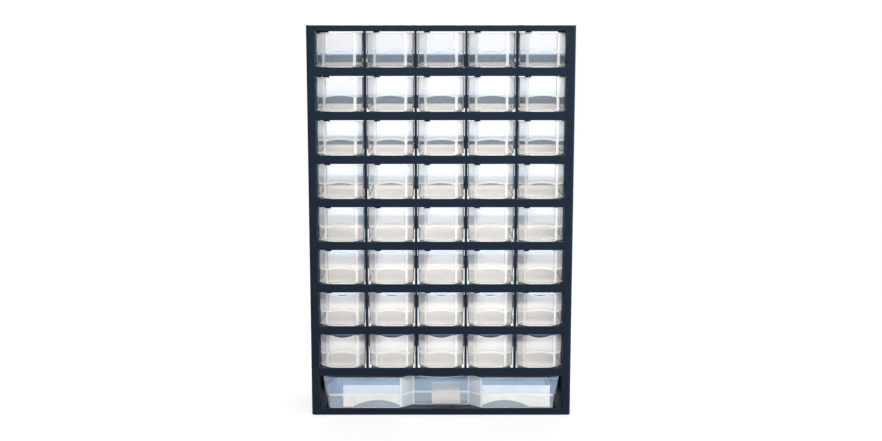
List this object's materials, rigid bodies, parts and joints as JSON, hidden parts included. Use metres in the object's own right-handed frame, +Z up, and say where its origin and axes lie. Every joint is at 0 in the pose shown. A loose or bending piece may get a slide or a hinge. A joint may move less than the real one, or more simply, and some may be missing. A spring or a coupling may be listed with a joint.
{
  "type": "parts bin cabinet",
  "caption": "Parts bin cabinet: dark navy moulded frame with a grid of small clear slide-out drawers above one wide clear drawer, free standing or hung on a wall.",
  "frame": {"origin": "on the floor under the middle of the cabinet", "axes": "+Z up, -Y the drawers' pull side, +X to the right when facing the drawers"},
  "size_m": [0.3064, 0.128, 0.458],
  "materials": {
    "navy_moulding": "satin moulded polystyrene",
    "clear_moulding": "clear, glossy",
    "white_card": "matt blank card"
  },
  "bodies": {
    "cabinet": {"left_side_panel": "navy_moulding", "right_side_panel": "navy_moulding", "top_panel": "navy_moulding", "base_panel": "navy_moulding", "shelf_1": "navy_moulding", "shelf_2": "navy_moulding", "shelf_3": "navy_moulding", "shelf_4": "navy_moulding", "shelf_5": "navy_moulding", "shelf_6": "navy_moulding", "shelf_7": "navy_moulding", "shelf_8": "navy_moulding", "front_posts_1": "navy_moulding", "front_posts_2": "navy_moulding", "front_posts_3": "navy_moulding", "front_posts_4": "navy_moulding", "rear_rails": "navy_moulding", "screw_bosses": "navy_moulding"},
    "wide_drawer": {"wide_drawer": "clear_moulding", "label_cards": "white_card"},
    "drawer_r1_c1": {"drawer_r1_c1": "clear_moulding"},
    "drawer_r1_c2": {"drawer_r1_c2": "clear_moulding"},
    "drawer_r1_c3": {"drawer_r1_c3": "clear_moulding"},
    "drawer_r1_c4": {"drawer_r1_c4": "clear_moulding"},
    "drawer_r1_c5": {"drawer_r1_c5": "clear_moulding"},
    "drawer_r2_c1": {"drawer_r2_c1": "clear_moulding"},
    "drawer_r2_c2": {"drawer_r2_c2": "clear_moulding"},
    "drawer_r2_c3": {"drawer_r2_c3": "clear_moulding"},
    "drawer_r2_c4": {"drawer_r2_c4": "clear_moulding"},
    "drawer_r2_c5": {"drawer_r2_c5": "clear_moulding"},
    "drawer_r3_c1": {"drawer_r3_c1": "clear_moulding"},
    "drawer_r3_c2": {"drawer_r3_c2": "clear_moulding"},
    "drawer_r3_c3": {"drawer_r3_c3": "clear_moulding"},
    "drawer_r3_c4": {"drawer_r3_c4": "clear_moulding"},
    "drawer_r3_c5": {"drawer_r3_c5": "clear_moulding"},
    "drawer_r4_c1": {"drawer_r4_c1": "clear_moulding"},
    "drawer_r4_c2": {"drawer_r4_c2": "clear_moulding"},
    "drawer_r4_c3": {"drawer_r4_c3": "clear_moulding"},
    "drawer_r4_c4": {"drawer_r4_c4": "clear_moulding"},
    "drawer_r4_c5": {"drawer_r4_c5": "clear_moulding"},
    "drawer_r5_c1": {"drawer_r5_c1": "clear_moulding"},
    "drawer_r5_c2": {"drawer_r5_c2": "clear_moulding"},
    "drawer_r5_c3": {"drawer_r5_c3": "clear_moulding"},
    "drawer_r5_c4": {"drawer_r5_c4": "clear_moulding"},
    "drawer_r5_c5": {"drawer_r5_c5": "clear_moulding"},
    "drawer_r6_c1": {"drawer_r6_c1": "clear_moulding"},
    "drawer_r6_c2": {"drawer_r6_c2": "clear_moulding"},
    "drawer_r6_c3": {"drawer_r6_c3": "clear_moulding"},
    "drawer_r6_c4": {"drawer_r6_c4": "clear_moulding"},
    "drawer_r6_c5": {"drawer_r6_c5": "clear_moulding"},
    "drawer_r7_c1": {"drawer_r7_c1": "clear_moulding"},
    "drawer_r7_c2": {"drawer_r7_c2": "clear_moulding"},
    "drawer_r7_c3": {"drawer_r7_c3": "clear_moulding"},
    "drawer_r7_c4": {"drawer_r7_c4": "clear_moulding"},
    "drawer_r7_c5": {"drawer_r7_c5": "clear_moulding"},
    "drawer_r8_c1": {"drawer_r8_c1": "clear_moulding"},
    "drawer_r8_c2": {"drawer_r8_c2": "clear_moulding"},
    "drawer_r8_c3": {"drawer_r8_c3": "clear_moulding"},
    "drawer_r8_c4": {"drawer_r8_c4": "clear_moulding"},
    "drawer_r8_c5": {"drawer_r8_c5": "clear_moulding"}
  },
  "joints": [
    {"name": "wide_drawer_slide", "type": "slide", "parent": "cabinet", "child": "wide_drawer", "axis": [0, -1, 0], "range_m": [0, 0.095]},
    {"name": "drawer_r1_c1_slide", "type": "slide", "parent": "cabinet", "child": "drawer_r1_c1", "axis": [0, -1, 0], "range_m": [0, 0.095]},
    {"name": "drawer_r1_c2_slide", "type": "slide", "parent": "cabinet", "child": "drawer_r1_c2", "axis": [0, -1, 0], "range_m": [0, 0.095]},
    {"name": "drawer_r1_c3_slide", "type": "slide", "parent": "cabinet", "child": "drawer_r1_c3", "axis": [0, -1, 0], "range_m": [0, 0.095]},
    {"name": "drawer_r1_c4_slide", "type": "slide", "parent": "cabinet", "child": "drawer_r1_c4", "axis": [0, -1, 0], "range_m": [0, 0.095]},
    {"name": "drawer_r1_c5_slide", "type": "slide", "parent": "cabinet", "child": "drawer_r1_c5", "axis": [0, -1, 0], "range_m": [0, 0.095]},
    {"name": "drawer_r2_c1_slide", "type": "slide", "parent": "cabinet", "child": "drawer_r2_c1", "axis": [0, -1, 0], "range_m": [0, 0.095]},
    {"name": "drawer_r2_c2_slide", "type": "slide", "parent": "cabinet", "child": "drawer_r2_c2", "axis": [0, -1, 0], "range_m": [0, 0.095]},
    {"name": "drawer_r2_c3_slide", "type": "slide", "parent": "cabinet", "child": "drawer_r2_c3", "axis": [0, -1, 0], "range_m": [0, 0.095]},
    {"name": "drawer_r2_c4_slide", "type": "slide", "parent": "cabinet", "child": "drawer_r2_c4", "axis": [0, -1, 0], "range_m": [0, 0.095]},
    {"name": "drawer_r2_c5_slide", "type": "slide", "parent": "cabinet", "child": "drawer_r2_c5", "axis": [0, -1, 0], "range_m": [0, 0.095]},
    {"name": "drawer_r3_c1_slide", "type": "slide", "parent": "cabinet", "child": "drawer_r3_c1", "axis": [0, -1, 0], "range_m": [0, 0.095]},
    {"name": "drawer_r3_c2_slide", "type": "slide", "parent": "cabinet", "child": "drawer_r3_c2", "axis": [0, -1, 0], "range_m": [0, 0.095]},
    {"name": "drawer_r3_c3_slide", "type": "slide", "parent": "cabinet", "child": "drawer_r3_c3", "axis": [0, -1, 0], "range_m": [0, 0.095]},
    {"name": "drawer_r3_c4_slide", "type": "slide", "parent": "cabinet", "child": "drawer_r3_c4", "axis": [0, -1, 0], "range_m": [0, 0.095]},
    {"name": "drawer_r3_c5_slide", "type": "slide", "parent": "cabinet", "child": "drawer_r3_c5", "axis": [0, -1, 0], "range_m": [0, 0.095]},
    {"name": "drawer_r4_c1_slide", "type": "slide", "parent": "cabinet", "child": "drawer_r4_c1", "axis": [0, -1, 0], "range_m": [0, 0.095]},
    {"name": "drawer_r4_c2_slide", "type": "slide", "parent": "cabinet", "child": "drawer_r4_c2", "axis": [0, -1, 0], "range_m": [0, 0.095]},
    {"name": "drawer_r4_c3_slide", "type": "slide", "parent": "cabinet", "child": "drawer_r4_c3", "axis": [0, -1, 0], "range_m": [0, 0.095]},
    {"name": "drawer_r4_c4_slide", "type": "slide", "parent": "cabinet", "child": "drawer_r4_c4", "axis": [0, -1, 0], "range_m": [0, 0.095]},
    {"name": "drawer_r4_c5_slide", "type": "slide", "parent": "cabinet", "child": "drawer_r4_c5", "axis": [0, -1, 0], "range_m": [0, 0.095]},
    {"name": "drawer_r5_c1_slide", "type": "slide", "parent": "cabinet", "child": "drawer_r5_c1", "axis": [0, -1, 0], "range_m": [0, 0.095]},
    {"name": "drawer_r5_c2_slide", "type": "slide", "parent": "cabinet", "child": "drawer_r5_c2", "axis": [0, -1, 0], "range_m": [0, 0.095]},
    {"name": "drawer_r5_c3_slide", "type": "slide", "parent": "cabinet", "child": "drawer_r5_c3", "axis": [0, -1, 0], "range_m": [0, 0.095]},
    {"name": "drawer_r5_c4_slide", "type": "slide", "parent": "cabinet", "child": "drawer_r5_c4", "axis": [0, -1, 0], "range_m": [0, 0.095]},
    {"name": "drawer_r5_c5_slide", "type": "slide", "parent": "cabinet", "child": "drawer_r5_c5", "axis": [0, -1, 0], "range_m": [0, 0.095]},
    {"name": "drawer_r6_c1_slide", "type": "slide", "parent": "cabinet", "child": "drawer_r6_c1", "axis": [0, -1, 0], "range_m": [0, 0.095]},
    {"name": "drawer_r6_c2_slide", "type": "slide", "parent": "cabinet", "child": "drawer_r6_c2", "axis": [0, -1, 0], "range_m": [0, 0.095]},
    {"name": "drawer_r6_c3_slide", "type": "slide", "parent": "cabinet", "child": "drawer_r6_c3", "axis": [0, -1, 0], "range_m": [0, 0.095]},
    {"name": "drawer_r6_c4_slide", "type": "slide", "parent": "cabinet", "child": "drawer_r6_c4", "axis": [0, -1, 0], "range_m": [0, 0.095]},
    {"name": "drawer_r6_c5_slide", "type": "slide", "parent": "cabinet", "child": "drawer_r6_c5", "axis": [0, -1, 0], "range_m": [0, 0.095]},
    {"name": "drawer_r7_c1_slide", "type": "slide", "parent": "cabinet", "child": "drawer_r7_c1", "axis": [0, -1, 0], "range_m": [0, 0.095]},
    {"name": "drawer_r7_c2_slide", "type": "slide", "parent": "cabinet", "child": "drawer_r7_c2", "axis": [0, -1, 0], "range_m": [0, 0.095]},
    {"name": "drawer_r7_c3_slide", "type": "slide", "parent": "cabinet", "child": "drawer_r7_c3", "axis": [0, -1, 0], "range_m": [0, 0.095]},
    {"name": "drawer_r7_c4_slide", "type": "slide", "parent": "cabinet", "child": "drawer_r7_c4", "axis": [0, -1, 0], "range_m": [0, 0.095]},
    {"name": "drawer_r7_c5_slide", "type": "slide", "parent": "cabinet", "child": "drawer_r7_c5", "axis": [0, -1, 0], "range_m": [0, 0.095]},
    {"name": "drawer_r8_c1_slide", "type": "slide", "parent": "cabinet", "child": "drawer_r8_c1", "axis": [0, -1, 0], "range_m": [0, 0.095]},
    {"name": "drawer_r8_c2_slide", "type": "slide", "parent": "cabinet", "child": "drawer_r8_c2", "axis": [0, -1, 0], "range_m": [0, 0.095]},
    {"name": "drawer_r8_c3_slide", "type": "slide", "parent": "cabinet", "child": "drawer_r8_c3", "axis": [0, -1, 0], "range_m": [0, 0.095]},
    {"name": "drawer_r8_c4_slide", "type": "slide", "parent": "cabinet", "child": "drawer_r8_c4", "axis": [0, -1, 0], "range_m": [0, 0.095]},
    {"name": "drawer_r8_c5_slide", "type": "slide", "parent": "cabinet", "child": "drawer_r8_c5", "axis": [0, -1, 0], "range_m": [0, 0.095]}
  ]
}
